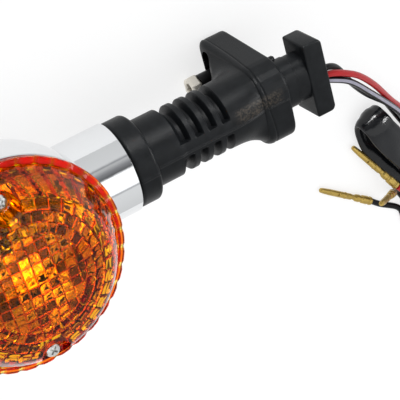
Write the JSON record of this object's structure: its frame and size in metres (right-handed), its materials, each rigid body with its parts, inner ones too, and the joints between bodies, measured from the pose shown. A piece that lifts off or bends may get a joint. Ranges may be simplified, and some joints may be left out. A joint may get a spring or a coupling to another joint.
{
  "type": "turn signal indicator",
  "caption": "Motorcycle turn signal lamp with a round amber lens, chrome cup, ribbed flexible rubber stem, slotted mounting foot and leads with bullet terminals.",
  "frame": {"origin": "under the middle of the lamp and its mount, on the surface the part lies on; the free leads are not counted", "axes": "+X along the stem from the lamp to the foot; +Y the lamp's upper side when fitted; +Z the way the lens faces"},
  "size_m": [0.2578, 0.1555, 0.082],
  "materials": {
    "amber": "clear glossy amber",
    "chrome": "mirror",
    "rubber": "matt",
    "steel": "zinc plated",
    "brass": "plain",
    "reflector": "bright",
    "fibre": "matt",
    "glass": "clear",
    "tungsten": "dull",
    "lead_red": "soft gloss",
    "lead_black": "soft gloss",
    "lead_tracer": "black with a pale stripe",
    "sleeve": "soft gloss"
  },
  "bodies": {
    "mount": {"boot_flange": "rubber", "boot_lobe": "rubber", "boot_foot": "rubber", "bellows": "rubber", "mount_nut": "steel", "lead_red_inner": "lead_red", "lead_black_inner": "lead_black", "lead_tracer_inner": "lead_tracer", "lead_red": "lead_red", "lead_black": "lead_black", "lead_tracer": "lead_tracer", "harness_sleeve": "sleeve", "lead_red_tail": "lead_red", "lead_black_tail": "lead_black", "lead_tracer_tail": "lead_tracer", "terminal_red": "brass", "terminal_black": "brass", "terminal_tracer": "brass"},
    "lamp_head": {"housing": "chrome", "lens": "amber", "lens_gasket": "rubber", "lens_screw_upper": "steel", "lens_screw_lower": "steel", "reflector": "reflector", "socket_shell": "steel", "socket_floor": "fibre", "contact_spring": "steel", "boot_collar": "rubber", "neck_insert": "steel", "neck_screw": "steel"},
    "contacts": {"contact_disc": "fibre", "contact_left": "brass", "contact_right": "brass"},
    "bulb": {"bulb_base": "brass", "bulb_glass": "glass", "filament_mount": "tungsten"}
  },
  "joints": [
    {"name": "stem_flex", "type": "hinge", "parent": "mount", "child": "lamp_head", "pos_m": [0.03465, 0, 0.0345], "axis": [0, 1, 0], "range_deg": [-15, 15], "stiffness_Nm_per_rad": 12, "deforming": ["bellows", "lead_red_inner", "lead_black_inner", "lead_tracer_inner"]},
    {"name": "contact_push", "type": "slide", "parent": "lamp_head", "child": "contacts", "axis": [0, 0, -1], "range_m": [0, 0.002], "stiffness_N_per_m": 1500, "springref_m": -0.001, "deforming": ["contact_spring"]},
    {"name": "bulb_twist", "type": "hinge", "parent": "contacts", "child": "bulb", "pos_m": [-0.05115, 0, 0.0345], "axis": [0, 0, 1], "range_deg": [0, 20]}
  ]
}
